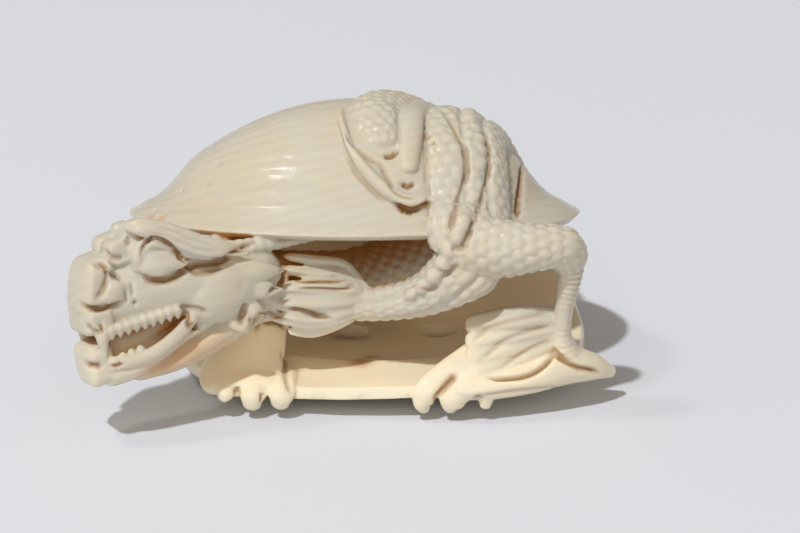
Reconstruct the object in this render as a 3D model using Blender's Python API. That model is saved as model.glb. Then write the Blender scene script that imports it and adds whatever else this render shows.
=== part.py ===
"""Ivory netsuke: a dragon winding through an open clam shell, carved from one piece.

Metres, +Z up. The clam lies with its hinge at the back (+Y) and gapes to the front (-Y).
The origin is under the middle of the carving, on the surface that it rests on.
"""

import math

import bmesh
import bpy
from mathutils import Matrix, Vector

# Driving sizes, in metres.
CARVING_LENGTH = 0.054
SHELL_WALL = 0.0013
FLOOR_THICKNESS = 0.0034
LIP_THICKNESS = 0.0010
BASE_TRIM = 0.0004
CORD_HOLE_WIDE = 0.0036
CORD_HOLE_NARROW = 0.0030
CORD_HOLE_SPACING = 0.0092
CARVING_GRAIN = 0.0003
FACE_COUNT = 7600

# The free form keeps its pose as shares of the length: 54 carver's units, a millimetre each at real size.
UNIT = CARVING_LENGTH / 54

# The middle of the whole carving, seen from above, and the clam's outlines, in carver's units.
MIDDLE = (0.56, -4.53)
UPPER_MIDDLE = (1.3, 0.0)
UPPER_REACH = (22.7, 16.5, 16.0)
UPPER_DOME = 12.0
UPPER_RIM = ((-17.0, 19.0), (-1.0, 16.0), (16.0, 12.6))
LOWER_MIDDLE = (4.2, -1.0)
LOWER_REACH = (20.5, 16.3, 16.5)
LOWER_RIM = ((-18.0, 2.5), (-4.0, 2.2), (1.0, 3.2), (8.0, 7.6), (16.0, 13.0))
LOWER_LEAN = -0.03
CORD_MIDDLE = (5.3, -1.0)

# The head has its own frame: forward along the muzzle, to the dragon's left, and up.
HEAD_PLACE = (-13.1, -16.5, 12.0)
HEAD_TURN = math.radians(28)
HEAD_DROOP = math.radians(12)
HEAD_TILT = math.radians(9)

SHELL_SIDES = 44
LIMB_SIDES = 12
FINE_SIDES = 8


def spline(stations, spans):
    """Stations along a smooth curve through the given ones; each holds a place and the sizes there."""
    given = [Vector(s) for s in stations]
    reach = [2 * given[0] - given[1], *given, 2 * given[-1] - given[-2]]
    out = []
    for a, b, c, d in zip(reach, reach[1:], reach[2:], reach[3:]):
        for k in range(spans):
            t = k / spans
            out.append(0.5 * (2 * b + (c - a) * t + (2 * a - 5 * b + 4 * c - d) * t**2
                              + (3 * b - a - 3 * c + d) * t**3))
    out.append(given[-1])
    return out


def level(pairs, at):
    """The height that pairs of (place, height) give at a place, on a smooth curve between them."""
    at = min(max(at, pairs[0][0]), pairs[-1][0])
    for (x0, z0), (x1, z1) in zip(pairs, pairs[1:]):
        if at <= x1:
            t = (at - x0) / (x1 - x0)
            return z0 + (z1 - z0) * t
    return pairs[-1][1]


def grow_rings(bm, rings):
    """Joins rings of points into one closed skin, by extruding each ring's edges to the next."""
    made = bmesh.ops.create_circle(bm, segments=len(rings[0]), radius=1)
    ring = made["verts"]
    for vert, place in zip(ring, rings[0]):
        vert.co = place
    edges = [e for e in bm.edges if e.verts[0] in ring and e.verts[1] in ring]
    first = edges
    for places in rings[1:]:
        grown = bmesh.ops.extrude_edge_only(bm, edges=edges)["geom"]
        edges = [g for g in grown if isinstance(g, bmesh.types.BMEdge) and len(g.link_faces) == 1]
        new = [g for g in grown if isinstance(g, bmesh.types.BMVert)]
        order = {}
        for vert in new:
            below = next(e.other_vert(vert) for e in vert.link_edges if e.other_vert(vert) in ring)
            order[ring.index(below)] = vert
        ring = [order[k] for k in range(len(places))]
        for vert, place in zip(ring, places):
            vert.co = place
    bmesh.ops.contextual_create(bm, geom=first)
    bmesh.ops.contextual_create(bm, geom=edges)


def limb(bm, stations, sides=LIMB_SIDES, out=(0, 0, 1), out_end=None, spans=4, round_end=True):
    """A closed limb along stations (x, y, z, half width, half height); half height lies towards out."""
    path = spline(stations, spans)
    first, last = Vector(out), Vector(out_end or out)
    rings = []
    for k, here in enumerate(path):
        before, after = path[max(k - 1, 0)], path[min(k + 1, len(path) - 1)]
        along = Vector(after[:3]) - Vector(before[:3])
        along.normalize()
        up = first.lerp(last, k / (len(path) - 1))
        up = (up - along * along.dot(up)).normalized()
        side = along.cross(up)
        rings.append((Vector(here[:3]), along, side * max(here[3], 0.05), up * max(here[4], 0.05)))
    rings = rounded(rings[0], -1) + rings
    if round_end:
        rings = rings + rounded(rings[-1], 1)
    turns = [math.tau * k / sides for k in range(sides)]
    grow_rings(bm, [[(mid + side * math.cos(a) + up * math.sin(a)) * UNIT for a in turns]
                    for mid, _, side, up in rings])


def rounded(ring, way, steps=3):
    """The shrinking rings that round off a limb's end."""
    mid, along, side, up = ring
    reach = min(side.length, up.length)
    caps = []
    for k in range(1, steps + 1):
        a = k / (steps + 0.3) * math.pi / 2
        caps.append((mid + along * way * reach * math.sin(a), along, side * math.cos(a), up * math.cos(a)))
    return caps if way > 0 else caps[::-1]


def lump(bm, middle, radii, turn=None):
    """A rounded mass."""
    place = Matrix.Translation(Vector(middle) * UNIT) @ (turn or Matrix.Identity(4))
    size = Matrix.Diagonal((*(r * UNIT for r in radii), 1))
    bmesh.ops.create_icosphere(bm, subdivisions=2, radius=1, matrix=place @ size)


def block(bm, middle, size, lean=0.0, rounding=0.28):
    """A squared mass with rounded edges, whose top leans back."""
    own = bmesh.new()
    bmesh.ops.create_cube(own, size=1)
    bmesh.ops.bevel(own, geom=own.edges[:], offset=rounding, affect="EDGES", segments=3, profile=0.5,
                    material=-1)
    own.transform(Matrix(((size[0], 0, -lean * size[2], middle[0]), (0, size[1], 0, middle[1]),
                          (0, 0, size[2], middle[2]), (0, 0, 0, 1))))
    own.transform(Matrix.Scale(UNIT, 4))
    join(bm, own)


def join(bm, own):
    """Adds a form that was built by itself."""
    scrap = bpy.data.meshes.new("scrap")
    own.to_mesh(scrap)
    own.free()
    bm.from_mesh(scrap)
    bpy.data.meshes.remove(scrap)


def spike(bm, base, tip, radius, bend=(0, 0, 0), sides=FINE_SIDES, flat=1.0, out=(0, 0, 1), waist=0.72):
    """A claw, tooth or lock: it tapers from base to tip, bowed by bend."""
    base, tip = Vector(base), Vector(tip)
    middle = (base + tip) / 2 + Vector(bend)
    stations = [(*base, radius, radius * flat), (*middle, radius * waist, radius * waist * flat),
                (*tip, radius * 0.12, radius * 0.12 * flat)]
    limb(bm, stations, sides=sides, out=out, spans=3, round_end=False)


# The clam shell.


def outline(turn, middle, reach, full):
    """The point of a valve's edge at an angle, seen from above; the front is fuller than the hinge side."""
    east, north = math.cos(turn), math.sin(turn)
    if north < 0:
        return (middle[0] + reach[0] * math.copysign(abs(east) ** full, east),
                middle[1] - reach[1] * abs(north) ** full)
    return middle[0] + reach[0] * east, middle[1] + reach[2] * north**1.12


def dome(share):
    """A valve's rise over its rim at a share of the way out, with the slight flare near the edge."""
    flare = 0.085 * math.sin(math.pi * (share - 0.7) / 0.3) ** 2 if share > 0.7 else 0
    return 1 - share**2 - flare


def upper_skin(turn, share):
    """A point of the upper valve's outside."""
    edge = outline(turn, UPPER_MIDDLE, UPPER_REACH, 1.0)
    x = UPPER_MIDDLE[0] + share * (edge[0] - UPPER_MIDDLE[0])
    y = UPPER_MIDDLE[1] + share * (edge[1] - UPPER_MIDDLE[1])
    return Vector((x, y, level(UPPER_RIM, y) + UPPER_DOME * dome(share)))


def lower_skin(turn, share):
    """A point of the lower valve's underside."""
    edge = outline(turn, LOWER_MIDDLE, LOWER_REACH, 0.8)
    x = LOWER_MIDDLE[0] + share * (edge[0] - LOWER_MIDDLE[0])
    y = LOWER_MIDDLE[1] + share * (edge[1] - LOWER_MIDDLE[1])
    sunk = -BASE_TRIM / UNIT
    rim = level(LOWER_RIM, edge[1]) - LOWER_LEAN * (edge[0] - LOWER_MIDDLE[0])
    return Vector((x, y, sunk + (rim - sunk) * share**2.4))


def valve(bm, skin, inward, wall):
    """A valve of true wall thickness: its outside, its lip and its inside as one closed skin."""
    shares = [0.04, 0.18, 0.32, 0.46, 0.58, 0.68, 0.77, 0.85, 0.92, 0.97, 1.0]
    turns = [math.tau * k / SHELL_SIDES for k in range(SHELL_SIDES)]
    outside = [[skin(a, s) for a in turns] for s in shares]
    inside = []
    for s in shares:
        thick = (LIP_THICKNESS + (wall - LIP_THICKNESS) * min(1, (1 - s) * 3)) / UNIT
        ring = []
        for a in turns:
            here = skin(a, s)
            round_way = skin(a + 0.02, s) - skin(a - 0.02, s)
            out_way = skin(a, min(s + 0.01, 1)) - skin(a, s - 0.01)
            away = out_way.cross(round_way).normalized()
            if away.z * inward < 0:
                away = -away
            ring.append(here + away * thick)
        inside.append(ring)
    grow_rings(bm, [[p * UNIT for p in ring] for ring in outside + inside[::-1]])


def on_dome(x, y, above=0.0):
    """The point of the upper valve's outside over a place seen from above."""
    dx = (x - UPPER_MIDDLE[0]) / UPPER_REACH[0]
    deep = UPPER_REACH[1] if y < UPPER_MIDDLE[1] else UPPER_REACH[2]
    dy = (y - UPPER_MIDDLE[1]) / deep
    share = min(math.hypot(dx, abs(dy) ** (1 / 1.06)), 1)
    return (x, y, level(UPPER_RIM, y) + UPPER_DOME * dome(share) + above)


# The dragon.

FRONT = ((12.9, -14.7, 18.8, 4.5, 2.2), (12.4, -15.6, 16.0, 3.7, 2.3))
TAIL = ((10.6, -15.4, 14.0, 2.7, 2.3), (7.6, -14.6, 12.0, 2.0, 2.0), (3.8, -13.6, 10.9, 1.7, 1.7),
        (1.0, -13.0, 10.6, 1.6, 1.5))
OVER = ((15.8, 10.4), (14.8, 7.6), (13.0, 3.4), (12.2, -2.0), (12.4, -7.5), (12.7, -12.2))
RIDGE = ((16.0, 10.4), (15.0, 7.6), (13.2, 3.4), (12.7, -1.7), (13.4, -5.2), (13.6, -7.7), (13.5, -9.4),
         (13.0, -11.2), (12.4, -13.4))

# Hair at the tail's end: heights at root, middle and tip, how far it reaches, how thick, how deep it lies.
TUFT = ((14.6, 15.3, 15.9, -5.6, 0.45, -12.2), (13.7, 14.1, 14.7, -6.2, 0.55, -12.7),
        (12.6, 12.9, 12.6, -7.6, 0.9, -13.6), (11.3, 11.3, 11.4, -7.2, 0.95, -14.1),
        (10.2, 9.8, 10.0, -6.8, 0.95, -14.1), (9.5, 8.6, 8.8, -5.2, 0.7, -13.7))
# Hair at the leg: the end's height and depth, the middle's height, how thick.
FLAME = ((8.8, -14.0, 9.7, 1.35), (7.4, -14.7, 8.3, 1.5), (6.0, -15.4, 6.9, 1.5), (4.9, -16.0, 5.8, 1.3))
# Fingers of the forepaw: where, how thick, how far down.
FINGERS = ((-11.4, 0.95, 0.3), (-8.6, 1.2, 1.1), (-5.8, 1.2, 1.0))
# Locks of the mane in the head's frame: root, tip, how far out the tip stands, how thick.
MANE = (((-2.0, 3.2), (-7.6, 1.3), 3.6, 1.5), ((-3.0, 1.2), (-6.9, -0.5), 3.5, 1.3),
        ((-2.6, -0.6), (-4.6, -2.3), 3.2, 1.1), ((-1.4, -1.6), (-2.5, -3.4), 3.0, 1.0))


def coil(bm):
    """The body: out of the shell at the hinge, over the dome and down its front, and its tail."""
    limb(bm, [(-10.0, -14.5, 12.6, 3.3, 3.5), (-6.0, -11.0, 12.0, 3.3, 3.3), (1.0, -3.0, 9.2, 3.4, 3.4),
              (8.0, 4.6, 9.0, 3.6, 3.6), (13.0, 8.6, 9.4, 3.6, 3.4), (15.8, 10.8, 11.6, 3.7, 2.8),
              (16.2, 11.6, 13.6, 3.7, 2.4)], spans=5)
    over = [(*on_dome(x, y, -0.3), 4.4, 1.9) for x, y in OVER]
    limb(bm, [(15.8, 10.8, 11.4, 3.4, 2.6), (16.2, 11.8, 13.6, 3.9, 2.4), *over, *FRONT, *TAIL],
         out=(0.4, 0.9, 1.2), out_end=(0.1, -1, 0.1))
    ridge = [(*on_dome(x, y, 1.1), 0.85, 0.9) for x, y in RIDGE]
    limb(bm, [(16.4, 13.8, 14.0, 0.7, 0.8), *ridge, (11.9, -16.7, 20.1, 0.85, 0.9),
              (10.9, -17.1, 18.2, 0.8, 0.9), (9.8, -17.2, 16.0, 0.75, 0.8), (8.3, -16.9, 14.2, 0.6, 0.7),
              (6.6, -16.2, 12.7, 0.4, 0.5)],
         sides=FINE_SIDES, out=(0, 0.7, 1), out_end=(0, -1, 0.1), spans=2)


def tail_tuft(bm):
    """The flame-like lobes at the tail's end, streaming to the cheek."""
    for z_root, z_mid, z_tip, x_tip, size, y in TUFT:
        limb(bm, [(2.6, -13.0, 0.35 * z_root + 7.3, size * 0.7, size * 0.7),
                  (0.4, y - 0.2, z_root, size, size * 0.9),
                  (-2.6, y - 0.8, z_mid, size * 1.1, size),
                  (-5.0, y - 1.2, 0.5 * (z_mid + z_tip) + 0.2, size * 0.8, size * 0.8),
                  (x_tip, y - 1.2, z_tip, size * 0.15, size * 0.15)],
             sides=FINE_SIDES, out=(0, -1, 0), spans=3)


def hind_leg(bm):
    """The leg at the right: thigh along the shell, shin down to the foot, and the claws over the rim."""
    limb(bm, [(12.5, -15.0, 17.4, 3.2, 3.0), (16.0, -15.8, 17.5, 2.7, 2.8), (19.0, -16.0, 17.7, 2.4, 2.3),
              (21.6, -15.5, 17.6, 2.2, 2.0), (22.4, -15.0, 16.4, 1.8, 1.9)])
    limb(bm, [(22.4, -15.0, 17.0, 1.8, 1.9), (22.6, -14.8, 14.8, 1.3, 1.5), (22.3, -14.5, 12.6, 1.1, 1.35),
              (21.95, -14.3, 10.2, 0.95, 1.3), (21.9, -14.1, 7.8, 1.0, 1.4), (22.2, -14.0, 5.8, 1.6, 1.7)],
         out=(0, -1, 0), spans=2)
    limb(bm, [(26.7, -12.0, 3.2, 0.7, 0.7), (24.6, -13.2, 4.2, 1.6, 1.5), (22.0, -14.2, 4.6, 2.0, 1.9),
              (18.5, -15.4, 3.9, 2.1, 1.6), (14.6, -16.5, 3.5, 2.0, 1.4), (12.0, -16.9, 3.4, 1.7, 1.2)],
         spans=3)
    limb(bm, [(14.0, -14.2, 6.2, 1.6, 1.2), (10.8, -16.0, 4.4, 1.7, 1.0), (8.7, -17.1, 3.3, 1.35, 0.9),
              (8.2, -17.4, 2.1, 1.1, 0.7), (8.3, -17.2, 1.3, 0.65, 0.5)], out=(0, -0.6, 0.8), spans=3)
    limb(bm, [(15.0, -15.0, 5.2, 1.6, 1.2), (12.6, -16.7, 3.9, 1.6, 1.0), (11.3, -17.4, 2.9, 1.5, 0.9),
              (11.0, -17.6, 1.9, 1.2, 0.7), (11.0, -17.4, 1.4, 0.7, 0.5)], out=(0, -0.6, 0.8), spans=3)
    toe(bm, 14.4, -17.0, 3.2, 0.75, 1.4)


def toe(bm, x, y, z, size, drop):
    """A finger that lies on the lower lip and bends over it."""
    limb(bm, [(x + 0.7, y + 3.4, z + 0.5, size * 0.8, size * 0.5),
              (x + 0.2, y + 0.9, z + 0.3, size * 1.1, size * 0.7),
              (x, y - 0.4, z - drop * 0.3, size * 1.1, size * 0.75),
              (x - 0.1, y - 0.5, z - drop, size * 0.8, size * 0.6)],
         sides=FINE_SIDES, out=(0, -0.6, 0.8), spans=3)


def leg_flame(bm):
    """The hair that fans from the hock to the left, in broad lobes."""
    for z_end, y_end, z_mid, size in FLAME:
        limb(bm, [(21.6, -13.8, 0.5 * z_mid + 4.6, 1.0, size * 0.8), (17.4, -14.7, z_mid, 1.2, size),
                  (13.4, y_end, z_end, 1.1, size * 0.8)])


def fore_leg(bm):
    """The front leg under the head: its broad low paw holds the lower lip at the left."""
    limb(bm, [(-7.6, -8.0, 9.2, 2.4, 2.4), (-8.6, -11.0, 5.6, 3.2, 1.6), (-9.7, -13.6, 3.7, 4.2, 1.1),
              (-9.6, -16.0, 3.0, 3.9, 0.9)], out=(0, -0.5, 1))
    for x, size, drop in FINGERS:
        toe(bm, x, -16.4, 2.8, size, drop)


def dome_paw(bm):
    """The paw laid on top of the dome: a scaled back, two toes with undercut ends and a crescent of hair."""
    limb(bm, [(*on_dome(11.0, 4.0, -0.4), 1.8, 1.2), (*on_dome(6.0, 1.0, -0.4), 2.6, 1.2),
              (*on_dome(3.4, -2.5, -0.3), 2.4, 1.1), (*on_dome(3.6, -5.4, -0.2), 2.3, 1.0),
              (*on_dome(4.2, -8.2, 0.0), 1.7, 0.9)], out=(0, -0.3, 1), spans=3)
    limb(bm, [(*on_dome(7.8, 1.0, -0.2), 1.4, 1.0), (*on_dome(7.0, -3.7, 0.0), 1.5, 0.9),
              (*on_dome(6.7, -7.6, 0.1), 1.4, 0.9), (*on_dome(6.7, -10.6, 0.2), 1.0, 0.8)],
         out=(0, -0.6, 1))
    limb(bm, [(*on_dome(-0.1, -3.8, -0.1), 0.45, 0.5), (*on_dome(0.2, -6.8, 0.1), 0.5, 0.7),
              (*on_dome(1.0, -9.6, 0.2), 0.55, 0.8), (*on_dome(2.4, -11.5, 0.3), 0.62, 0.9),
              (*on_dome(4.0, -12.5, 0.35), 0.68, 0.95), (*on_dome(5.7, -13.0, 0.4), 0.7, 1.0),
              (*on_dome(7.2, -13.1, 0.5), 0.7, 1.0), (*on_dome(9.4, -12.6, 0.6), 0.6, 0.9)],
         sides=FINE_SIDES, out=(0, -0.6, 1), spans=2)


# The dragon's head, in its own frame.


def head_frame():
    """Turns the head's own frame to where the head looks out of the shell."""
    level_way = Vector((-math.cos(HEAD_TURN), -math.sin(HEAD_TURN), 0))
    forward = level_way * math.cos(HEAD_DROOP) - Vector((0, 0, math.sin(HEAD_DROOP)))
    up = level_way * math.sin(HEAD_DROOP) + Vector((0, 0, math.cos(HEAD_DROOP)))
    left = up.cross(forward)
    left, up = (left * math.cos(HEAD_TILT) + up * math.sin(HEAD_TILT),
                up * math.cos(HEAD_TILT) - left * math.sin(HEAD_TILT))
    turn = Matrix((forward, left, up)).transposed().to_4x4()
    return Matrix.Translation(Vector(HEAD_PLACE) * UNIT) @ turn


def head(bm):
    """The whole head is built straight, both sides alike, and then turned into place."""
    own = bmesh.new()
    skull(own)
    jaws(own)
    for side in (1, -1):
        eye_and_brow(own, side)
        mane(own, side)
        teeth(own, side)
    own.transform(head_frame())
    join(bm, own)


def skull(bm):
    """Skull and muzzle, with the squared nose, the forehead and the cheeks."""
    limb(bm, [(-5.0, 0, 1.2, 3.6, 3.4), (-1.0, 0, 2.2, 4.0, 3.9), (3.6, 0, 3.9, 3.7, 4.1),
              (7.0, 0, 4.3, 3.1, 3.9), (9.4, 0, 4.5, 2.7, 3.7)])
    block(bm, (10.7, 0, 6.3), (3.4, 5.6, 5.2), lean=0.4)
    block(bm, (11.5, 0, 3.3), (3.4, 5.7, 3.0), lean=0.2)
    lump(bm, (4.8, 0, 7.9), (3.0, 3.5, 2.6))
    for side in (1, -1):
        lump(bm, (-1.2, side * 2.3, 1.6), (4.8, 2.2, 3.3))
        lump(bm, (9.6, side * 2.5, 5.4), (1.5, 0.8, 1.2))


def jaws(bm):
    """The lower jaw and its chin, the throat, the lower lips and the tongue."""
    limb(bm, [(0.0, 0, -0.6, 3.0, 1.4), (4.1, 0, -1.5, 3.1, 1.0), (6.1, 0, -2.05, 3.1, 1.15),
              (7.8, 0, -2.5, 3.0, 1.2), (9.5, 0, -2.75, 2.9, 1.35), (11.3, 0, -2.5, 2.7, 1.6)], spans=3)
    block(bm, (12.5, 0, -1.2), (2.9, 5.0, 4.3), lean=0.1)
    limb(bm, [(8.6, 0, -3.6, 2.2, 1.0), (5.0, 0, -3.7, 2.6, 1.3), (0.5, 0, -3.0, 2.7, 1.7),
              (-4.0, 0, -1.6, 2.8, 2.2)])
    for side in (1, -1):
        limb(bm, [(2.4, side * 3.2, 0.6, 0.5, 0.7), (4.4, side * 3.2, -0.7, 0.5, 0.7),
                  (7.8, side * 3.0, -1.7, 0.5, 0.7), (11.6, side * 2.6, -1.3, 0.5, 0.7)], sides=FINE_SIDES)
    limb(bm, [(3.4, 0, 0.6, 1.6, 0.9), (7.8, 0, -0.4, 1.4, 1.4), (10.6, 0, -0.1, 0.9, 1.5)], sides=FINE_SIDES)


def eye_and_brow(bm, side):
    """Eye, brow, leaf-shaped ear and the squared knobs of the crest."""
    limb(bm, [(6.0, side * 2.7, 6.6, 1.1, 0.7), (5.0, side * 3.0, 6.7, 1.65, 0.8),
              (3.6, side * 3.3, 6.4, 1.15, 0.75), (2.0, side * 3.5, 5.6, 0.4, 0.5)],
         out=(0, side, 0.1), spans=3)
    limb(bm, [(6.6, side * 2.6, 6.8, 0.45, 0.5), (6.2, side * 2.9, 8.0, 0.55, 0.6),
              (5.2, side * 3.1, 8.8, 0.6, 0.65), (3.4, side * 3.4, 8.3, 0.6, 0.6),
              (1.6, side * 3.7, 6.7, 0.5, 0.5), (-0.4, side * 3.9, 5.6, 0.4, 0.4)],
         sides=FINE_SIDES, spans=2)
    low = 0 if side > 0 else 2.2
    limb(bm, [(6.2, side * 2.6, 10.9 - low, 0.5, 0.4), (5.2, side * 3.2, 10.6 - low, 0.9, 0.6),
              (3.0, side * 3.7, 9.3 - low, 1.0, 0.6), (0.4, side * 4.1, 7.1 - low, 1.1, 0.6),
              (-2.0, side * 4.2, 5.8 - low, 0.8, 0.5), (-4.1, side * 4.0, 4.5 - low, 0.25, 0.25)],
         sides=FINE_SIDES, out=(0.2, side, 0.6), spans=3)
    block(bm, (7.6, side * 1.4, 8.7), (2.6, 2.0, 2.5), lean=0.25, rounding=0.2)
    block(bm, (6.0, side * 1.7, 9.7 - low / 3), (1.7, 1.6, 3.0), lean=0.3, rounding=0.24)


def mane(bm, side):
    """Pointed locks behind the cheek, and the horn laid back under the shell."""
    for (f0, u0), (f1, u1), proud, size in MANE:
        spike(bm, (f0, side * 2.9, u0), (f1, side * proud, u1), size, bend=(0, side * 0.5, 0), flat=0.6,
              out=(0, side, 0))
    limb(bm, [(1.0, side * 1.8, 5.6, 1.0, 1.0), (-5.0, side * 1.8, 4.4, 0.9, 0.9),
              (-12.0, side * 1.4, 2.8, 0.5, 0.5)],
         sides=FINE_SIDES)


def teeth(bm, side, count=9):
    """The saw of teeth in the upper jaw, three lower ones and the long tooth in front."""
    for k in range(count):
        t = k / (count - 1)
        f, l, u = 10.9 - 6.8 * t, 2.65 + 0.6 * t, 1.3 - 0.3 * t
        spike(bm, (f, side * l, u + 0.6), (f + 0.15, side * (l + 0.1), u - 0.35), 0.62, sides=6, waist=0.6)
    for k in range(3):
        lump(bm, (10.5 - 0.95 * k, side * 2.75, -0.95), (0.42, 0.4, 0.5))
    spike(bm, (11.7, side * 2.4, 2.6), (12.2, side * 2.5, -0.8), 0.75)


# One solid.


def ivory():
    """Polished ivory: warm cream, smooth, not metal."""
    material = bpy.data.materials.new("ivory")
    material.use_nodes = True
    shader = material.node_tree.nodes["Principled BSDF"]
    shader.inputs["Base Color"].default_value = (0.80, 0.70, 0.52, 1)
    shader.inputs["Roughness"].default_value = 0.38
    shader.inputs["Metallic"].default_value = 0
    return material


def applied(thing):
    """The object's mesh with its modifiers applied."""
    bpy.context.view_layer.update()
    shaped = bpy.data.meshes.new_from_object(thing.evaluated_get(bpy.context.evaluated_depsgraph_get()))
    thing.modifiers.clear()
    thing.data = shaped
    return thing


def fuse(carving):
    """Makes one skin of the overlapping forms, at the grain of the carving, and lightens it."""
    grain = carving.modifiers.new("grain", "REMESH")
    grain.mode = "VOXEL"
    grain.voxel_size = CARVING_GRAIN
    applied(carving)
    lighter = carving.modifiers.new("lighter", "DECIMATE")
    lighter.ratio = FACE_COUNT / (2 * len(carving.data.polygons))
    applied(carving)
    drop_crumbs(carving.data)


def drop_crumbs(mesh):
    """Keeps the carving's one skin and drops any speck that the lightening has cut loose."""
    bm = bmesh.new()
    bm.from_mesh(mesh)
    left = set(bm.verts)
    skins = []
    while left:
        skin, edge = set(), [left.pop()]
        while edge:
            vert = edge.pop()
            skin.add(vert)
            near = {e.other_vert(vert) for e in vert.link_edges} & left
            left -= near
            edge.extend(near)
        skins.append(skin)
    whole = max(skins, key=len)
    bmesh.ops.delete(bm, geom=[v for v in bm.verts if v not in whole], context="VERTS")
    bm.to_mesh(mesh)
    bm.free()


def cut_away(carving, name, cutting):
    """Takes the cutting form's space out of the carving."""
    mesh = bpy.data.meshes.new(name)
    cutting.to_mesh(mesh)
    cutting.free()
    cutter = bpy.data.objects.new(name, mesh)
    bpy.context.scene.collection.objects.link(cutter)
    cutter.hide_render = True
    cutter.display_type = "WIRE"
    cut = carving.modifiers.new(name, "BOOLEAN")
    cut.operation = "DIFFERENCE"
    cut.object = cutter


def flat_foot(carving):
    """Trims what lies below the resting plane, so that the carving stands on a true flat."""
    cutting = bmesh.new()
    bmesh.ops.create_cube(cutting, size=2 * CARVING_LENGTH,
                          matrix=Matrix.Translation((0, 0, -CARVING_LENGTH)))
    cut_away(carving, "below_foot", cutting)


def cord_holes(carving):
    """The pair of holes in the underside that a cord passes through, one wider to take its knot."""
    for way, width in ((-1, CORD_HOLE_WIDE), (1, CORD_HOLE_NARROW)):
        cutting = bmesh.new()
        x = CORD_MIDDLE[0] * UNIT + way * CORD_HOLE_SPACING / 2
        place = Matrix.Translation((x - MIDDLE[0] * UNIT, (CORD_MIDDLE[1] - MIDDLE[1]) * UNIT, 0.002))
        bmesh.ops.create_cone(cutting, cap_ends=True, segments=24, radius1=width / 2, radius2=width / 2,
                              depth=0.006, matrix=place)
        cut_away(carving, "cord_hole_%d" % (way + 2), cutting)


def main():
    for thing in list(bpy.data.objects):
        bpy.data.objects.remove(thing)
    bm = bmesh.new()
    valve(bm, upper_skin, -1, SHELL_WALL)
    valve(bm, lower_skin, 1, FLOOR_THICKNESS)
    coil(bm)
    tail_tuft(bm)
    hind_leg(bm)
    leg_flame(bm)
    fore_leg(bm)
    dome_paw(bm)
    head(bm)
    bmesh.ops.recalc_face_normals(bm, faces=bm.faces)
    bmesh.ops.translate(bm, verts=bm.verts, vec=(-MIDDLE[0] * UNIT, -MIDDLE[1] * UNIT, 0))
    mesh = bpy.data.meshes.new("dragon_in_clam")
    bm.to_mesh(mesh)
    bm.free()
    mesh.materials.append(ivory())
    carving = bpy.data.objects.new("dragon_in_clam", mesh)
    bpy.context.scene.collection.objects.link(carving)
    fuse(carving)
    flat_foot(carving)
    cord_holes(carving)
    carving.data.shade_smooth()


main()
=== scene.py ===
"""A dragon winding through an open clam shell, carved from one piece of ivory, on a pale floor.

Forms are laid out in carver's units, a millimetre each, in the carver's frame: the clam's hinge at +Y
and its open front at -Y. MIDDLE is what shifts them to the frame's own origin.
"""
import math

import bmesh
import bpy
import numpy as np
from mathutils import Matrix, Vector
from mathutils.bvhtree import BVHTree


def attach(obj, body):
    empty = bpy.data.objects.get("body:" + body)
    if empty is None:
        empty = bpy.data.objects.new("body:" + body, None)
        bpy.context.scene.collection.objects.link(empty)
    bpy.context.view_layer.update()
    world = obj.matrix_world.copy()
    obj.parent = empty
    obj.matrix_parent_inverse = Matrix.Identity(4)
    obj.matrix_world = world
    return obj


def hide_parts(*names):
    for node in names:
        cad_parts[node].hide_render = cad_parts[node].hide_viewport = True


UNIT = 0.001
MIDDLE = Vector((0.56, -4.53, 0))

# The clam.
SHELL_WALL, FLOOR_THICKNESS, LIP_THICKNESS, BASE_TRIM = 1.3, 3.4, 1.0, 0.4
UPPER_MIDDLE = (1.3, 0.0)
UPPER_REACH = (22.7, 16.5, 16.0)
UPPER_DOME = 12.0
UPPER_RIM = ((-17.0, 19.0), (-1.0, 16.0), (16.0, 12.6))
LOWER_MIDDLE = (4.2, -1.0)
LOWER_REACH = (20.5, 16.3, 16.5)
LOWER_RIM = ((-18.0, 2.5), (-4.0, 2.2), (1.0, 3.2), (8.0, 7.6), (16.0, 13.0))
LOWER_LEAN = -0.03
RIB_SPACING = math.radians(6.6)
CORD_MIDDLE = (5.3, -1.0)
CORD_HOLES = ((-4.6, 1.8), (4.6, 1.5))

# The head has its own frame: forward along the muzzle, to the dragon's left, and up.
HEAD_PLACE = Vector((-13.1, -16.5, 12.0))
HEAD_TURN, HEAD_DROOP, HEAD_TILT = math.radians(28), math.radians(12), math.radians(9)

# Between these heights, in millimetres, the hollows pass from the shell floor's painted light to the amber
# patina and painted shade of those above.
FLOOR_HOLLOWS = (7.5, 11)

# The angle that spreads rays evenly round a point.
GOLDEN_TURN = 2.399963

# How finely the forms are laid out and fused, in millimetres.
RING_STEP = 0.2
CARVING_GRAIN = 0.13
TRIANGLES = 192000

# The view from the front: how far away in millimetres, how far down, the picture's size, and how many of its
# units show a millimetre.
VIEW_TARGET, VIEW_DOWN, VIEW_DISTANCE = Vector((5.9, 0, 9.9)), math.radians(20), 400
PICTURE_WIDTH, PICTURE_HEIGHT, VIEW_SCALE = 800, 533, 9.82
VIEW_BACK = Vector((0, -math.cos(VIEW_DOWN), math.sin(VIEW_DOWN)))


# Smooth courses and the forms that follow them.


def spline(stations, step):
    """Places and sizes along a smooth curve through the stations, about a step apart."""
    given = [Vector(s) for s in stations]
    reach = [2 * given[0] - given[1], *given, 2 * given[-1] - given[-2]]
    out = []
    for a, b, c, d in zip(reach, reach[1:], reach[2:], reach[3:]):
        spans = max(2, round((Vector(c[:3]) - Vector(b[:3])).length / step))
        for k in range(spans):
            t = k / spans
            out.append(0.5 * (2 * b + (c - a) * t + (2 * a - 5 * b + 4 * c - d) * t**2
                              + (3 * b - a - 3 * c + d) * t**3))
    out.append(given[-1])
    return out


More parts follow.
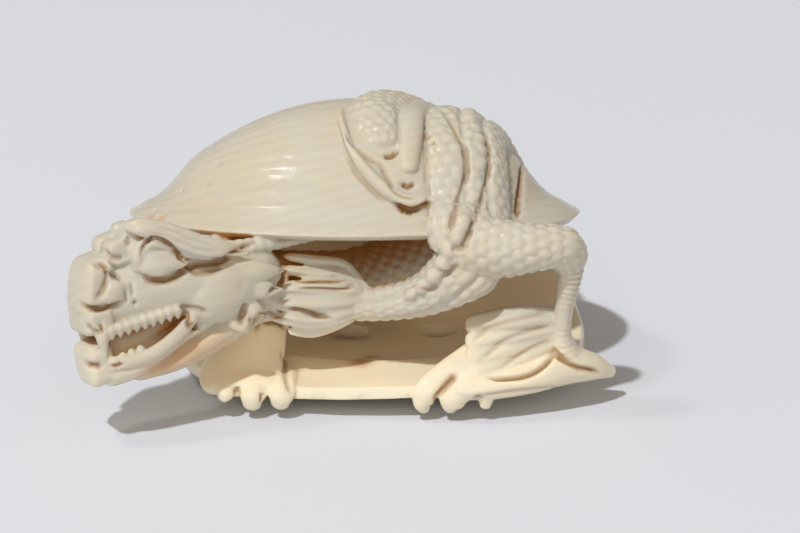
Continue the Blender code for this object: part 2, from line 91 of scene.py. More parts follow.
def level(pairs, at):
    """The height that pairs of (place, height) give at a place."""
    places, heights = zip(*pairs)
    return float(np.interp(at, places, heights))


def wrapped(bm, rows, sides, place):
    """A grid wrapped round into a closed form; place(row, side) gives each point."""
    made = bmesh.ops.create_grid(bm, x_segments=rows, y_segments=sides, size=0.5)["verts"]
    for vert in made:
        row, side = round((vert.co.x + 0.5) * rows), round((vert.co.y + 0.5) * sides)
        vert.co = place(row, side % sides)
    bmesh.ops.remove_doubles(bm, verts=made, dist=1e-5)


def limb(bm, stations, out=(0, 0, 1), out_end=None, relief=None, sides=24, round_end=True, step=RING_STEP):
    """A closed limb along stations (x, y, z, half width, half height); half height lies towards out.

    relief(run, angle, width) raises or cuts the skin, in millimetres.
    """
    path = spline(stations, step)
    first, last = Vector(out), Vector(out_end or out)
    rings, run = [], 0.0
    for k, here in enumerate(path):
        before, after = path[max(k - 1, 0)], path[min(k + 1, len(path) - 1)]
        along = (Vector(after[:3]) - Vector(before[:3])).normalized()
        up = first.lerp(last, k / (len(path) - 1))
        up = (up - along * along.dot(up)).normalized()
        if k:
            run += (Vector(here[:3]) - Vector(path[k - 1][:3])).length
        width, height = max(here[3], 0.05), max(here[4], 0.05)
        rings.append((Vector(here[:3]), along, along.cross(up), up, width, height, run))
    rings = rounded(rings[0], -1) + rings + (rounded(rings[-1], 1) if round_end else [])

    def place(row, side):
        mid, _, across, up, width, height, run_here = rings[row]
        a = math.tau * side / sides
        proud = 0.0
        if relief and row not in (0, len(rings) - 1):
            fade = min(1, min(width, height) / 0.6)
            proud = relief(run_here, a, width) * fade
        return mid + across * math.cos(a) * (width + proud) + up * math.sin(a) * (height + proud)

    wrapped(bm, len(rings) - 1, sides, place)


def rounded(ring, way, steps=5):
    """The shrinking rings that round off a limb's end, down to a point."""
    mid, along, across, up, width, height, run = ring
    reach = min(width, height)
    caps = []
    for k in range(1, steps + 1):
        a = k / steps * math.pi / 2
        less = max(math.cos(a), 1e-5)
        caps.append((mid + along * way * reach * math.sin(a), along, across, up,
                     width * less, height * less, run))
    return caps if way > 0 else caps[::-1]


def lump(bm, middle, radii, subdivisions=4):
    """A rounded mass."""
    bmesh.ops.create_icosphere(bm, subdivisions=subdivisions, radius=1,
                               matrix=Matrix.Translation(middle) @ Matrix.Diagonal((*radii, 1)))


def block(bm, middle, size, lean=0.0, rounding=0.28):
    """A squared mass with rounded edges, whose top leans back."""
    own = bmesh.new()
    bmesh.ops.create_cube(own, size=1)
    bmesh.ops.bevel(own, geom=own.edges[:], offset=rounding, affect="EDGES", segments=5, profile=0.5,
                    material=-1)
    bmesh.ops.subdivide_edges(own, edges=own.edges[:], cuts=2, use_grid_fill=True)
    place = Matrix(((size[0], 0, -lean * size[2], middle[0]), (0, size[1], 0, middle[1]),
                    (0, 0, size[2], middle[2]), (0, 0, 0, 1)))
    own.transform(place)
    join(bm, own)


def join(bm, own):
    """Adds a form that was built by itself."""
    scrap = bpy.data.meshes.new("scrap")
    own.to_mesh(scrap)
    own.free()
    bm.from_mesh(scrap)
    bpy.data.meshes.remove(scrap)


def spike(bm, base, tip, radius, bend=(0, 0, 0), flat=1.0, out=(0, 0, 1), sides=12, waist=0.72):
    """A claw, tooth or lock: it tapers from base to tip, bowed by bend."""
    base, tip = Vector(base), Vector(tip)
    middle = (base + tip) / 2 + Vector(bend)
    limb(bm, [(*base, radius, radius * flat), (*middle, radius * waist, radius * waist * flat),
              (*tip, radius * 0.1, radius * 0.1 * flat)], out=out, sides=sides)


# Relief that follows a limb.


def pebbles(pitch, depth, girth):
    """Rounded scales in staggered rows, a pitch apart, on a limb of that girth."""
    count = max(5, round(girth / pitch))

    def relief(run, angle, width):
        row = run / (pitch * 0.87)
        best = 0.0
        for near in (math.floor(row), math.floor(row) + 1):
            across = (angle / math.tau * count + 0.5 * (near % 2)) % 1 - 0.5
            off = math.hypot(row - near, across * 1.1)
            best = max(best, 1 - (off / 0.6) ** 2)
        return depth * (math.sqrt(max(best, 0)) - 0.55)
    return relief


def cross_lines(pitch, depth, where):
    """Fine cuts across a limb, on the side that where(angle) picks out."""
    def relief(run, angle, width):
        return -depth * max(0, math.cos(math.tau * run / pitch)) ** 3 * where(angle)
    return relief


def strands(count, depth, twist=0.0):
    """Locks of hair: grooves that run along a limb."""
    def relief(run, angle, width):
        return depth * (abs(math.cos((angle * count + twist * run) / 2)) - 0.6)
    return relief


# The clam shell.


def outline(turn, middle, reach, full):
    """The point of a valve's edge at an angle, seen from above; the front is fuller than the hinge side."""
    east, north = math.cos(turn), math.sin(turn)
    if north < 0:
        return (middle[0] + reach[0] * math.copysign(abs(east) ** full, east),
                middle[1] - reach[1] * abs(north) ** full)
    return middle[0] + reach[0] * east, middle[1] + reach[2] * north**1.12


def dome(share):
    """A valve's rise over its rim at a share of the way out, with the slight flare near the edge."""
    flare = 0.085 * math.sin(math.pi * (share - 0.7) / 0.3) ** 2 if share > 0.7 else 0
    return 1 - share**2 - flare


def upper_skin(turn, share):
    """A point of the upper valve's outside."""
    edge = outline(turn, UPPER_MIDDLE, UPPER_REACH, 1.0)
    x = UPPER_MIDDLE[0] + share * (edge[0] - UPPER_MIDDLE[0])
    y = UPPER_MIDDLE[1] + share * (edge[1] - UPPER_MIDDLE[1])
    return Vector((x, y, level(UPPER_RIM, y) + UPPER_DOME * dome(share)))


def lower_skin(turn, share):
    """A point of the lower valve's underside."""
    edge = outline(turn, LOWER_MIDDLE, LOWER_REACH, 0.8)
    x = LOWER_MIDDLE[0] + share * (edge[0] - LOWER_MIDDLE[0])
    y = LOWER_MIDDLE[1] + share * (edge[1] - LOWER_MIDDLE[1])
    rim = level(LOWER_RIM, edge[1]) - LOWER_LEAN * (edge[0] - LOWER_MIDDLE[0])
    return Vector((x, y, -BASE_TRIM + (rim + BASE_TRIM) * share**2.4))


def upper_ribs(point, share):
    """Growth ribs: they run from one end of the hinge line to the other and crowd at the ends."""
    around = math.atan2(point.z - 15.2, -(point.y - 0.5))
    ridge = abs(math.cos(math.pi * around / RIB_SPACING)) ** 0.7
    strong = max(0.0, 1 - around / math.radians(120))
    edge = min(1, (1 - share) * 12)
    bead = 0.16 * math.exp(-((1 - share) / 0.02) ** 2)
    return 0.19 * (ridge - 0.6) * strong * edge + bead


def lower_ribs(point, share):
    """Broad growth rings on the lower valve's underside, and a bead along its lip."""
    ring = 0.10 * math.cos(math.tau * (1 - share) / 0.055) * min(1, max(0, share - 0.4) * 4)
    return ring * min(1, (1 - share) * 12) + 0.15 * math.exp(-((1 - share) / 0.03) ** 2)


def valve(bm, skin, inward, wall, ribs, turns=300, steps=56):
    """A valve of true wall thickness: its outside, its lip and its inside as one closed skin."""
    shares = [0.0] + [math.sin(math.pi / 2 * k / steps) for k in range(1, steps + 1)]
    rounds = [(s, False) for s in shares] + [(s, True) for s in shares[::-1]]

    def place(row, side):
        share, inside = rounds[row]
        a = math.tau * side / turns
        share = max(share, 1e-4)
        here = skin(a, share)
        round_way = skin(a + 0.02, share) - skin(a - 0.02, share)
        out_way = skin(a, min(share + 0.01, 1)) - skin(a, max(share - 0.01, 0))
        away = out_way.cross(round_way)
        away = away.normalized() if away.length > 1e-12 and share > 0.02 else Vector((0, 0, 1))
        if away.z * inward < 0:
            away = -away
        if not inside:
            return here - away * ribs(here, share)
        thick = LIP_THICKNESS + (wall - LIP_THICKNESS) * min(1, (1 - share) * 3)
        return here + away * thick

    wrapped(bm, len(rounds) - 1, turns, place)


def on_dome(x, y, above=0.0):
    """The point of the upper valve's outside over a place seen from above."""
    dx = (x - UPPER_MIDDLE[0]) / UPPER_REACH[0]
    deep = UPPER_REACH[1] if y < UPPER_MIDDLE[1] else UPPER_REACH[2]
    share = min(math.hypot(dx, abs((y - UPPER_MIDDLE[1]) / deep) ** (1 / 1.06)), 1)
    return (x, y, level(UPPER_RIM, y) + UPPER_DOME * dome(share) + above)


# The dragon's body.

FRONT = ((12.9, -14.7, 18.8, 4.5, 2.2), (12.4, -15.6, 16.0, 3.7, 2.3))
TAIL = ((10.6, -15.4, 14.0, 2.7, 2.3), (7.6, -14.6, 12.0, 2.0, 2.0), (3.8, -13.6, 10.9, 1.7, 1.7),
        (1.0, -13.0, 10.6, 1.6, 1.5))
OVER = ((15.8, 10.4), (14.8, 7.6), (13.0, 3.4), (12.2, -2.0), (12.4, -7.5), (12.7, -12.2))
RIDGE = ((16.0, 10.4), (15.0, 7.6), (13.2, 3.4), (12.7, -1.7), (13.4, -5.2), (13.6, -7.7), (13.5, -9.4),
         (13.0, -11.2), (12.4, -13.4))

# Hair at the tail's end: heights at root, middle and tip, how far it reaches, how thick, how deep it lies.
TUFT = ((14.6, 15.3, 15.9, -5.6, 0.45, -12.2), (13.7, 14.1, 14.7, -6.2, 0.55, -12.7),
        (12.6, 12.9, 12.6, -7.6, 0.9, -13.6), (11.3, 11.3, 11.4, -7.2, 0.95, -14.1),
        (10.2, 9.8, 10.0, -6.8, 0.95, -14.1), (9.5, 8.6, 8.8, -5.2, 0.7, -13.7))
# Hair at the leg: the end's height and depth, the middle's height, how thick.
FLAME = ((8.8, -14.0, 9.7, 1.35), (7.4, -14.7, 8.3, 1.5), (6.0, -15.4, 6.9, 1.5), (4.9, -16.0, 5.8, 1.3))
# Fingers of the forepaw: where, how thick, how far down.
FINGERS = ((-11.4, 0.95, 0.3), (-8.6, 1.2, 1.1), (-5.8, 1.2, 1.0))
# Locks of the mane in the head's frame: root, tip, how far out the tip stands, how thick.
MANE = (((-2.0, 3.2), (-7.6, 1.3), 3.6, 1.5), ((-3.0, 1.2), (-6.9, -0.5), 3.5, 1.3),
        ((-2.6, -0.6), (-4.6, -2.3), 3.2, 1.1), ((-1.4, -1.6), (-2.5, -3.4), 3.0, 1.0))


def band_relief(run, angle, width):
    """Scales on both sides of the back's ridge, and the two grooves beside it."""
    scales = pebbles(1.35, 0.34, 21)(run, angle, width)
    off = width * math.cos(angle)
    grooves = sum(math.exp(-((off - at) / 0.35) ** 2) for at in (0.9, -1.6)) if math.sin(angle) > 0 else 0
    return scales - 0.4 * grooves


def coil(bm):
    """The body: out of the shell at the hinge, over the dome and down its front, and its tail."""
    limb(bm, [(-10.0, -14.5, 12.6, 3.3, 3.5), (-6.0, -11.0, 12.0, 3.3, 3.3), (1.0, -3.0, 9.2, 3.4, 3.4),
              (8.0, 4.6, 9.0, 3.6, 3.6), (13.0, 8.6, 9.4, 3.6, 3.4), (15.8, 10.8, 11.6, 3.7, 2.8),
              (16.2, 11.6, 13.6, 3.7, 2.4)], sides=96, relief=pebbles(1.35, 0.36, 22))
    over = [(*on_dome(x, y, -0.3), 4.4, 1.9) for x, y in OVER]
    limb(bm, [(15.8, 10.8, 11.4, 3.4, 2.6), (16.2, 11.8, 13.6, 3.9, 2.4), *over, *FRONT, *TAIL],
         out=(0.4, 0.9, 1.2), out_end=(0.1, -1, 0.1), sides=110, relief=band_relief)
    ridge = [(*on_dome(x, y, 1.1), 0.85, 0.9) for x, y in RIDGE]

    def knobs(run, angle, width):
        return 0.34 * (abs(math.cos(math.pi * run / 1.55)) - 0.5)

    limb(bm, [(16.4, 13.8, 14.0, 0.7, 0.8), *ridge, (11.9, -16.7, 20.1, 0.85, 0.9),
              (10.9, -17.1, 18.2, 0.8, 0.9), (9.8, -17.2, 16.0, 0.75, 0.8), (8.3, -16.9, 14.2, 0.6, 0.7),
              (6.6, -16.2, 12.7, 0.4, 0.5)],
         out=(0, 0.7, 1), out_end=(0, -1, 0.1), sides=28, relief=knobs)


def tail_tuft(bm):
    """The flame-like lobes at the tail's end, streaming to the cheek."""
    for z_root, z_mid, z_tip, x_tip, size, y in TUFT:
        limb(bm, [(2.6, -13.0, 0.35 * z_root + 7.3, size * 0.7, size * 0.7),
                  (0.4, y - 0.2, z_root, size, size * 0.9),
                  (-2.6, y - 0.8, z_mid, size * 1.1, size),
                  (-5.0, y - 1.2, 0.5 * (z_mid + z_tip) + 0.2, size * 0.8, size * 0.8),
                  (x_tip, y - 1.2, z_tip, size * 0.15, size * 0.15)],
             out=(0, -1, 0), sides=40, relief=strands(5, 0.2))


def hind_leg(bm):
    """The leg at the right: thigh along the shell, shin down to the foot, and the claws over the rim."""
    limb(bm, [(12.5, -15.0, 17.4, 3.2, 3.0), (16.0, -15.8, 17.5, 2.7, 2.8), (19.0, -16.0, 17.7, 2.4, 2.3),
              (21.6, -15.5, 17.6, 2.2, 2.0), (22.4, -15.0, 16.4, 1.8, 1.9)], sides=90,
         relief=pebbles(1.2, 0.34, 15))
    limb(bm, [(22.4, -15.0, 17.0, 1.8, 1.9), (22.6, -14.8, 14.8, 1.3, 1.5), (22.3, -14.5, 12.6, 1.1, 1.35),
              (21.95, -14.3, 10.2, 0.95, 1.3), (21.9, -14.1, 7.8, 1.0, 1.4), (22.2, -14.0, 5.8, 1.6, 1.7)],
         out=(0, -1, 0), sides=56,
         relief=cross_lines(0.6, 0.26, lambda angle: 1 if math.cos(angle) < 0.6 else 0.3))
    limb(bm, [(26.7, -12.0, 3.2, 0.7, 0.7), (24.6, -13.2, 4.2, 1.6, 1.5), (22.0, -14.2, 4.6, 2.0, 1.9),
              (18.5, -15.4, 3.9, 2.1, 1.6), (14.6, -16.5, 3.5, 2.0, 1.4), (12.0, -16.9, 3.4, 1.7, 1.2)],
         sides=56)
    limb(bm, [(14.0, -14.2, 6.2, 1.6, 1.2), (10.8, -16.0, 4.4, 1.7, 1.0), (8.7, -17.1, 3.3, 1.35, 0.9),
              (8.2, -17.4, 2.1, 1.1, 0.7), (8.3, -17.2, 1.3, 0.65, 0.5)], out=(0, -0.6, 0.8), sides=48)
    limb(bm, [(15.0, -15.0, 5.2, 1.6, 1.2), (12.6, -16.7, 3.9, 1.6, 1.0), (11.3, -17.4, 2.9, 1.5, 0.9),
              (11.0, -17.6, 1.9, 1.2, 0.7), (11.0, -17.4, 1.4, 0.7, 0.5)], out=(0, -0.6, 0.8), sides=48)
    toe(bm, 14.4, -17.0, 3.2, 0.75, 1.4)


def toe(bm, x, y, z, size, drop):
    """A toe that reaches over the lower lip and ends in a blunt claw."""
    limb(bm, [(x + 0.7, y + 3.4, z + 0.5, size * 0.8, size * 0.5),
              (x + 0.2, y + 0.9, z + 0.3, size * 1.1, size * 0.7),
              (x, y - 0.4, z - drop * 0.3, size * 1.1, size * 0.75),
              (x - 0.1, y - 0.5, z - drop, size * 0.8, size * 0.6)],
         out=(0, -0.6, 0.8), sides=36)


def leg_flame(bm):
    """The hair that fans from the hock to the left, in broad lobes."""
    for z_end, y_end, z_mid, size in FLAME:
        limb(bm, [(21.6, -13.8, 0.5 * z_mid + 4.6, 1.0, size * 0.8), (17.4, -14.7, z_mid, 1.2, size),
                  (13.4, y_end, z_end, 1.1, size * 0.8)], sides=48, relief=strands(4, 0.16))


def fore_leg(bm):
    """The front leg under the head: its broad low paw holds the lower lip at the left."""
    limb(bm, [(-7.6, -8.0, 9.2, 2.4, 2.4), (-8.6, -11.0, 5.6, 3.2, 1.6), (-9.7, -13.6, 3.7, 4.2, 1.1),
              (-9.6, -16.0, 3.0, 3.9, 0.9)], out=(0, -0.5, 1), sides=80)
    for x, size, drop in FINGERS:
        toe(bm, x, -16.4, 2.8, size, drop)


def dome_paw(bm):
    """The paw laid on top of the dome: a scaled back, two toes with undercut ends and a crescent of hair."""
    limb(bm, [(*on_dome(11.0, 4.0, -0.4), 1.8, 1.2), (*on_dome(6.0, 1.0, -0.4), 2.6, 1.2),
              (*on_dome(3.4, -2.5, -0.3), 2.4, 1.1), (*on_dome(3.6, -5.4, -0.2), 2.3, 1.0),
              (*on_dome(4.2, -8.2, 0.0), 1.7, 0.9)],
         out=(0, -0.3, 1), sides=72, relief=pebbles(1.15, 0.32, 13))
    limb(bm, [(*on_dome(7.8, 1.0, -0.2), 1.4, 1.0), (*on_dome(7.0, -3.7, 0.0), 1.5, 0.9),
              (*on_dome(6.7, -7.6, 0.1), 1.4, 0.9), (*on_dome(6.7, -10.6, 0.2), 1.0, 0.8)],
         out=(0, -0.6, 1), sides=48)
    limb(bm, [(*on_dome(-0.1, -3.8, -0.1), 0.45, 0.5), (*on_dome(0.2, -6.8, 0.1), 0.5, 0.7),
              (*on_dome(1.0, -9.6, 0.2), 0.55, 0.8), (*on_dome(2.4, -11.5, 0.3), 0.62, 0.9),
              (*on_dome(4.0, -12.5, 0.35), 0.68, 0.95), (*on_dome(5.7, -13.0, 0.4), 0.7, 1.0),
              (*on_dome(7.2, -13.1, 0.5), 0.7, 1.0), (*on_dome(9.4, -12.6, 0.6), 0.6, 0.9)],
         out=(0, -0.6, 1), sides=40)


# The dragon's head, in its own frame.


def head_frame():
    """Turns the head's own frame to where the head looks out of the shell."""
    level_way = Vector((-math.cos(HEAD_TURN), -math.sin(HEAD_TURN), 0))
    forward = level_way * math.cos(HEAD_DROOP) - Vector((0, 0, math.sin(HEAD_DROOP)))
    up = level_way * math.sin(HEAD_DROOP) + Vector((0, 0, math.cos(HEAD_DROOP)))
    left = up.cross(forward)
    left, up = (left * math.cos(HEAD_TILT) + up * math.sin(HEAD_TILT),
                up * math.cos(HEAD_TILT) - left * math.sin(HEAD_TILT))
    return Matrix.Translation(HEAD_PLACE) @ Matrix((forward, left, up)).transposed().to_4x4()


def head(bm):
    """The whole head is built straight, both sides alike, and then turned into place."""
    own = bmesh.new()
    skull(own)
    jaws(own)
    for side in (1, -1):
        eye_and_brow(own, side)
        mane(own, side)
        teeth(own, side)
    own.transform(head_frame())
    join(bm, own)


def skull(bm):
    """Skull and muzzle, with the squared nose, the forehead and the cheeks."""
    limb(bm, [(-5.0, 0, 1.2, 3.6, 3.4), (-1.0, 0, 2.2, 4.0, 3.9), (3.6, 0, 3.9, 3.7, 4.1),
              (7.0, 0, 4.3, 3.1, 3.9), (9.4, 0, 4.5, 2.7, 3.7)], sides=72)
    block(bm, (10.7, 0, 6.3), (3.4, 5.6, 5.2), lean=0.4)
    block(bm, (11.5, 0, 3.3), (3.4, 5.7, 3.0), lean=0.2)
    lump(bm, (4.8, 0, 7.9), (3.0, 3.5, 2.6))
    for side in (1, -1):
        lump(bm, (-1.2, side * 2.3, 1.6), (4.8, 2.2, 3.3))
        lump(bm, (9.6, side * 2.5, 5.4), (1.5, 0.8, 1.2))


def jaws(bm):
    """The lower jaw and its chin, the throat, the lower lips and the tongue."""
    limb(bm, [(0.0, 0, -0.6, 3.0, 1.4), (4.1, 0, -1.5, 3.1, 1.0), (6.1, 0, -2.05, 3.1, 1.15),
              (7.8, 0, -2.5, 3.0, 1.2), (9.5, 0, -2.75, 2.9, 1.35), (11.3, 0, -2.5, 2.7, 1.6)], sides=64)
    block(bm, (12.5, 0, -1.2), (2.9, 5.0, 4.3), lean=0.1)
    limb(bm, [(8.6, 0, -3.6, 2.2, 1.0), (5.0, 0, -3.7, 2.6, 1.3), (0.5, 0, -3.0, 2.7, 1.7),
              (-4.0, 0, -1.6, 2.8, 2.2)], sides=56)
    for side in (1, -1):
        limb(bm, [(2.4, side * 3.2, 0.6, 0.5, 0.7), (4.4, side * 3.2, -0.7, 0.5, 0.7),
                  (7.8, side * 3.0, -1.7, 0.5, 0.7), (11.6, side * 2.6, -1.3, 0.5, 0.7)])
    limb(bm, [(3.4, 0, 0.6, 1.6, 0.9), (7.8, 0, -0.4, 1.4, 1.4), (10.6, 0, -0.1, 0.9, 1.5)])


def eye_and_brow(bm, side):
    """Eye, brow, leaf-shaped ear and the squared knobs of the crest; the far ear and crest lie lower."""
    limb(bm, [(6.0, side * 2.7, 6.6, 1.1, 0.7), (5.0, side * 3.0, 6.7, 1.65, 0.8),
              (3.6, side * 3.3, 6.4, 1.15, 0.75), (2.0, side * 3.5, 5.6, 0.4, 0.5)],
         out=(0, side, 0.1), sides=36)
    limb(bm, [(6.6, side * 2.6, 6.8, 0.45, 0.5), (6.2, side * 2.9, 8.0, 0.55, 0.6),
              (5.2, side * 3.1, 8.8, 0.6, 0.65), (3.4, side * 3.4, 8.3, 0.6, 0.6),
              (1.6, side * 3.7, 6.7, 0.5, 0.5), (-0.4, side * 3.9, 5.6, 0.4, 0.4)])
    low = 0 if side > 0 else 2.2
    limb(bm, [(6.2, side * 2.6, 10.9 - low, 0.5, 0.4), (5.2, side * 3.2, 10.6 - low, 0.9, 0.6),
              (3.0, side * 3.7, 9.3 - low, 1.0, 0.6), (0.4, side * 4.1, 7.1 - low, 1.1, 0.6),
              (-2.0, side * 4.2, 5.8 - low, 0.8, 0.5), (-4.1, side * 4.0, 4.5 - low, 0.25, 0.25)],
         out=(0.2, side, 0.6), sides=36)
    block(bm, (7.6, side * 1.4, 8.7), (2.6, 2.0, 2.5), lean=0.25, rounding=0.2)
    block(bm, (6.0, side * 1.7, 9.7 - low / 3), (1.7, 1.6, 3.0), lean=0.3, rounding=0.24)


def mane(bm, side):
    """Pointed locks behind the cheek, and the horn laid back under the shell."""
    for (f0, u0), (f1, u1), proud, size in MANE:
        spike(bm, (f0, side * 2.9, u0), (f1, side * proud, u1), size, bend=(0, side * 0.5, 0), flat=0.6,
              out=(0, side, 0), sides=32)
    limb(bm, [(1.0, side * 1.8, 5.6, 1.0, 1.0), (-5.0, side * 1.8, 4.4, 0.9, 0.9),
              (-12.0, side * 1.4, 2.8, 0.5, 0.5)],
         relief=cross_lines(1.0, 0.15, lambda angle: 1))


def teeth(bm, side, count=9):
    """The saw of teeth in the upper jaw, three lower ones and the long tooth in front."""
    for k in range(count):
        t = k / (count - 1)
        f, l, u = 10.9 - 6.8 * t, 2.65 + 0.6 * t, 1.3 - 0.3 * t
        spike(bm, (f, side * l, u + 0.6), (f + 0.15, side * (l + 0.1), u - 0.35), 0.62, sides=14, waist=0.6)
    for k in range(3):
        lump(bm, (10.5 - 0.95 * k, side * 2.75, -0.95), (0.42, 0.4, 0.5), subdivisions=3)
    spike(bm, (11.7, side * 2.4, 2.6), (12.2, side * 2.5, -0.8), 0.75, sides=18)


# One skin, and the cuts in it.


def applied(thing):
    """Keeps the object's mesh as its modifiers leave it."""
    bpy.context.view_layer.update()
    shaped = bpy.data.meshes.new_from_object(thing.evaluated_get(bpy.context.evaluated_depsgraph_get()))
    thing.modifiers.clear()
    thing.data = shaped


def fuse(carving):
    """Makes one skin of the overlapping forms, at the grain of the carving."""
    grain = carving.modifiers.new("grain", "REMESH")
    grain.mode = "VOXEL"
    grain.voxel_size = CARVING_GRAIN
    applied(carving)


def lighten(carving):
    """Thins the skin where it is smooth, down to the number of triangles that a piece may have."""
    lighter = carving.modifiers.new("lighter", "DECIMATE")
    lighter.ratio = min(1, TRIANGLES / (2 * len(carving.data.polygons)))
    applied(carving)


def drop_crumbs(carving):
    """Keeps the one large skin and drops the specks that thinning leaves beside it."""
    bm = bmesh.new()
    bm.from_mesh(carving.data)
    left, skins = set(bm.verts), []
    while left:
        skin, edge_of_it = set(), [left.pop()]
        while edge_of_it:
            vert = edge_of_it.pop()
            skin.add(vert)
            for edge in vert.link_edges:
                other = edge.other_vert(vert)
                if other in left:
                    left.remove(other)
                    edge_of_it.append(other)
        skins.append(skin)
    skins.sort(key=len)
    bmesh.ops.delete(bm, geom=[vert for skin in skins[:-1] for vert in skin], context="VERTS")
    bm.to_mesh(carving.data)
    bm.free()


def cut_away(carving, name, cutting):
    """Takes the cutting form's space out of the carving."""
    mesh = bpy.data.meshes.new(name)
    cutting.to_mesh(mesh)
    cutting.free()
    cutter = bpy.data.objects.new(name, mesh)
    bpy.context.scene.collection.objects.link(cutter)
    cut = carving.modifiers.new(name, "BOOLEAN")
    cut.operation = "DIFFERENCE"
    cut.solver = "MANIFOLD"
    cut.object = cutter
    applied(carving)
    bpy.data.objects.remove(cutter)


def underside(carving):
    """The true flat that the carving rests on, and the pair of holes for a cord."""
    cutting = bmesh.new()
    bmesh.ops.create_cube(cutting, size=100, matrix=Matrix.Translation((0, 0, -50)))
    cut_away(carving, "below_foot", cutting)
    for x, radius in CORD_HOLES:
        cutting = bmesh.new()
        bmesh.ops.create_cone(cutting, cap_ends=True, segments=48, radius1=radius, radius2=radius, depth=6,
                              matrix=Matrix.Translation((CORD_MIDDLE[0] + x, CORD_MIDDLE[1], 2)))
        cut_away(carving, "cord_hole", cutting)


def field(things, kind, size=3):
    """One value per vertex, as an array."""
    out = np.empty(len(things) * size, np.float32)
    things.foreach_get(kind, out)
    return out.reshape(-1, size) if size > 1 else out


def drawn(tree, line):
    """A line seen from the front, laid on the skin: its places and which way the skin faces there."""
    eye = VIEW_TARGET + VIEW_BACK * VIEW_DISTANCE
    right, up = Vector((1, 0, 0)), VIEW_BACK.cross(Vector((1, 0, 0)))
    if len(line) > 1:
        line = [tuple(place) for place in spline([(*place, 0) for place in line], 0.9)]
    places, faces = [], []
    for place in line:
        across = (place[0] - PICTURE_WIDTH / 2) / VIEW_SCALE
        rise = (PICTURE_HEIGHT / 2 - place[1]) / VIEW_SCALE
        way = (VIEW_TARGET + right * across + up * rise - eye).normalized()
        hit, normal, _, _ = tree.ray_cast(eye, way)
        if hit is not None:
            places.append(hit)
            faces.append(normal)
    return np.array(places, np.float32).reshape(-1, 3), np.array(faces, np.float32).reshape(-1, 3)


def engrave(carving, cuts):
    """Draws the graver along the cuts, each with its width, its depth and its lines."""
    tree = BVHTree.FromObject(carving, bpy.context.evaluated_depsgraph_get())
    mesh = carving.data
    places, facing = field(mesh.vertices, "co"), field(mesh.vertex_normals, "vector")
    push = np.zeros(len(places), np.float32)
    for width, depth, lines in cuts:
        for line in lines:
            run, sides = drawn(tree, line)
            if not len(run):
                continue
            low, high = run.min(0) - 2.5 * width, run.max(0) + 2.5 * width
            near = np.flatnonzero(((places > low) & (places < high)).all(1))
            apart = (places[near]**2).sum(1)[:, None] + (run**2).sum(1)[None] - 2 * places[near] @ run.T
            closest = apart.argmin(1)
            apart = np.maximum(apart[np.arange(len(near)), closest], 0)
            level_with = np.clip((facing[near] * sides[closest]).sum(1), 0, 1)
            along = closest / max(len(run) - 1, 1)
            ends = np.minimum(1, 0.35 + 5 * np.minimum(along, 1 - along)) if len(run) > 1 else 1
            push[near] += depth * np.exp(-apart / width**2) * level_with * ends
    places -= facing * np.clip(push, -0.6, 0.9)[:, None]
    mesh.vertices.foreach_set("co", places.ravel())
    # The cuts' depth is kept as well; the ivory darkens the cuts by it, as patina and painted shade.
    cut_patina_and_shade = mesh.attributes.new("graved", "FLOAT", "POINT")
    cut_patina_and_shade.data.foreach_set("value", np.clip(push / 0.5, 0, 1))
    mesh.update()


def seen_places(carving, spots_and_shade):
    """Each spot on the finished carving, as seen from the front: how wide, how strong and where."""
    tree = BVHTree.FromObject(carving, bpy.context.evaluated_depsgraph_get())
    return [(width, strength, Vector(drawn(tree, (seen,))[0][0])) for width, strength, seen in spots_and_shade]


def recesses(carving, reach=30.0, rays=20):
    """Marks how deep each place lies in the carving: 0 in the open, 1 where no hand has rubbed it and shade
    lies deepest.

    Rays spread over the skin's outward side, and those that meet the carving again count by how near they do.
    The low hollows, on the shell's floor, count for less and are marked by themselves, for the painted light
    that makes that floor paler.
    """
    tree = BVHTree.FromObject(carving, bpy.context.evaluated_depsgraph_get())
    mesh = carving.data
    closed = np.zeros(len(mesh.vertices), np.float32)
    ways = []
    for k in range(rays):
        up, turn = 1 - (k + 0.5) / rays, k * GOLDEN_TURN
        level_share = math.sqrt(1 - up * up)
        ways.append(Vector((level_share * math.cos(turn), level_share * math.sin(turn), up)))
    for index, (vert, normal) in enumerate(zip(mesh.vertices, mesh.vertex_normals)):
        out = normal.vector
        turned = out.to_track_quat("Z", "Y")
        start = vert.co + out * 0.05
        met = 0.0
        for way in ways:
            hit = tree.ray_cast(start, turned @ way, reach)
            if hit[0] is not None:
                met += way.z * (1 - 0.35 * hit[3] / reach)
        closed[index] = met
    closed = evened(mesh, closed / sum(way.z for way in ways))
    high = np.interp(field(mesh.vertices, "co")[:, 2], FLOOR_HOLLOWS, (0, 1)).astype(np.float32)
    # The second mark paints light onto the shell's low floor: the deeper there, the paler.
    for name, value in (("recess", closed * (0.45 + 0.55 * high)), ("painted_floor_light", closed * (1 - high))):
        mesh.attributes.new(name, "FLOAT", "POINT").data.foreach_set("value", value)


def evened(mesh, value, rounds=5):
    """Draws each vertex's value halfway to its neighbours' mean, a few times over."""
    ends = np.empty(2 * len(mesh.edges), np.int32)
    mesh.edges.foreach_get("vertices", ends)
    near, far = ends.reshape(-1, 2).T
    neighbours = np.bincount(ends, minlength=len(value))
    for _ in range(rounds):
        around = np.bincount(near, value[far], len(value)) + np.bincount(far, value[near], len(value))
        value = 0.5 * value + 0.5 * around / neighbours
    return value


